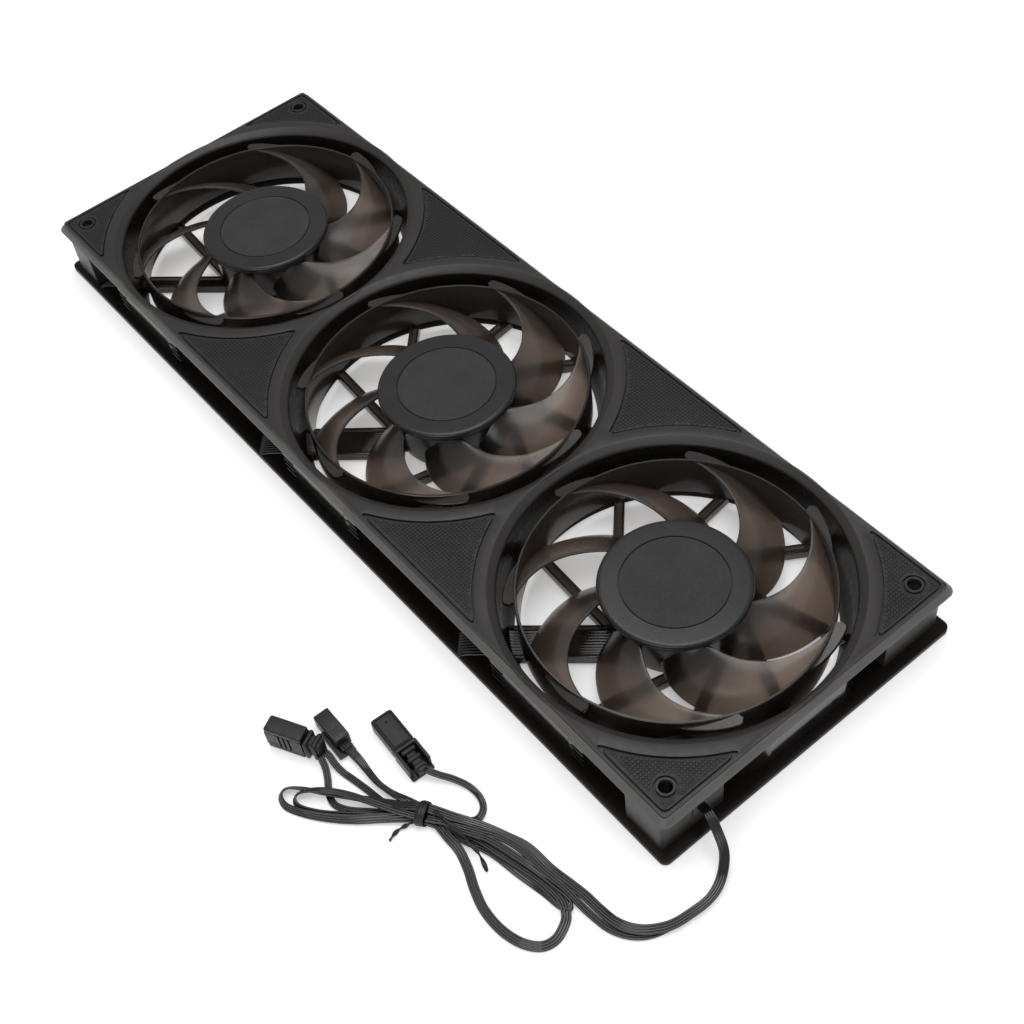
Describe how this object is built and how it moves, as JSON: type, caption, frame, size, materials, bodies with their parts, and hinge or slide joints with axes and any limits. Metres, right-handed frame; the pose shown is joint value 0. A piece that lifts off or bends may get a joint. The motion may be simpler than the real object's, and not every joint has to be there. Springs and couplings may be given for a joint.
{
  "type": "triple radiator fan unit",
  "caption": "One-piece fan unit for a liquid cooling radiator: a long smoke plastic frame with ringed rotors in a row, rubber corner pads, ribbon leads tied in a hank and end connectors",
  "frame": {"origin": "centre of the frame's rear face, the face that lies against the radiator", "axes": "+X along the row of fans towards the end where the leads come out, +Y across the frame, +Z from the rear face towards the face that the air enters"},
  "size_m": [0.3825, 0.1984, 0.025],
  "materials": {
    "smoke_plastic": "glossy smoke-grey translucent plastic, its top face finely textured",
    "smoke_blade": "satin smoke-brown translucent plastic",
    "black_plastic": "satin black moulded plastic with a glossy rounded edge",
    "badge_grey": "flat dark grey disc",
    "pad_rubber": "black rubber with a fine crosshatch of bumps",
    "black_rubber": "black moulded rubber",
    "lead_insulation": "satin black ribbon cable insulation",
    "tie_plastic": "black plastic-coated twist tie",
    "connector_plastic": "satin black connector plastic",
    "motor_steel": "plain steel",
    "magnet": "dark bonded magnet",
    "bronze": "sintered bronze",
    "copper_wire": "enamelled copper winding",
    "circuit_board": "green solder mask",
    "label_film": "plain grey film without print"
  },
  "bodies": {
    "root": {"frame": "smoke_plastic", "pad_mid_1": "pad_rubber", "pad_mid_2": "pad_rubber", "pad_mid_3": "pad_rubber", "pad_mid_4": "pad_rubber", "pad_corner_1": "pad_rubber", "pad_corner_2": "pad_rubber", "pad_corner_3": "pad_rubber", "pad_corner_4": "pad_rubber", "inner_harness": "lead_insulation", "cable_gland": "black_rubber", "bearing_sleeve_1": "bronze", "stator_core_1": "motor_steel", "windings_1": "copper_wire", "circuit_board_1": "circuit_board", "rear_label_1": "label_film", "bearing_sleeve_2": "bronze", "stator_core_2": "motor_steel", "windings_2": "copper_wire", "circuit_board_2": "circuit_board", "rear_label_2": "label_film", "bearing_sleeve_3": "bronze", "stator_core_3": "motor_steel", "windings_3": "copper_wire", "circuit_board_3": "circuit_board", "rear_label_3": "label_film", "fan_lead": "lead_insulation", "fan_lead_loop": "lead_insulation", "fan_lead_tail": "lead_insulation", "light_lead": "lead_insulation", "light_lead_tail": "lead_insulation", "link_lead_in": "lead_insulation", "link_lead_out": "lead_insulation", "lead_hank": "lead_insulation", "twist_tie": "tie_plastic", "fan_plug": "connector_plastic", "light_socket": "connector_plastic", "light_socket_boot": "black_rubber", "light_plug_cap": "connector_plastic", "light_plug": "connector_plastic", "light_plug_boot": "black_rubber"},
    "rotor_1": {"impeller_1": "smoke_blade", "hub_cap_1": "black_plastic", "hub_badge_1": "badge_grey", "rotor_yoke_1": "motor_steel", "magnet_ring_1": "magnet", "shaft_1": "motor_steel"},
    "rotor_2": {"impeller_2": "smoke_blade", "hub_cap_2": "black_plastic", "hub_badge_2": "badge_grey", "rotor_yoke_2": "motor_steel", "magnet_ring_2": "magnet", "shaft_2": "motor_steel"},
    "rotor_3": {"impeller_3": "smoke_blade", "hub_cap_3": "black_plastic", "hub_badge_3": "badge_grey", "rotor_yoke_3": "motor_steel", "magnet_ring_3": "magnet", "shaft_3": "motor_steel"}
  },
  "joints": [
    {"name": "fan_1_spin", "type": "hinge", "parent": "root", "child": "rotor_1", "pos_m": [0.12, 0, 0.012], "axis": [0, 0, 1], "continuous": true},
    {"name": "fan_2_spin", "type": "hinge", "parent": "root", "child": "rotor_2", "pos_m": [0, 0, 0.012], "axis": [0, 0, 1], "continuous": true},
    {"name": "fan_3_spin", "type": "hinge", "parent": "root", "child": "rotor_3", "pos_m": [-0.12, 0, 0.012], "axis": [0, 0, 1], "continuous": true}
  ]
}
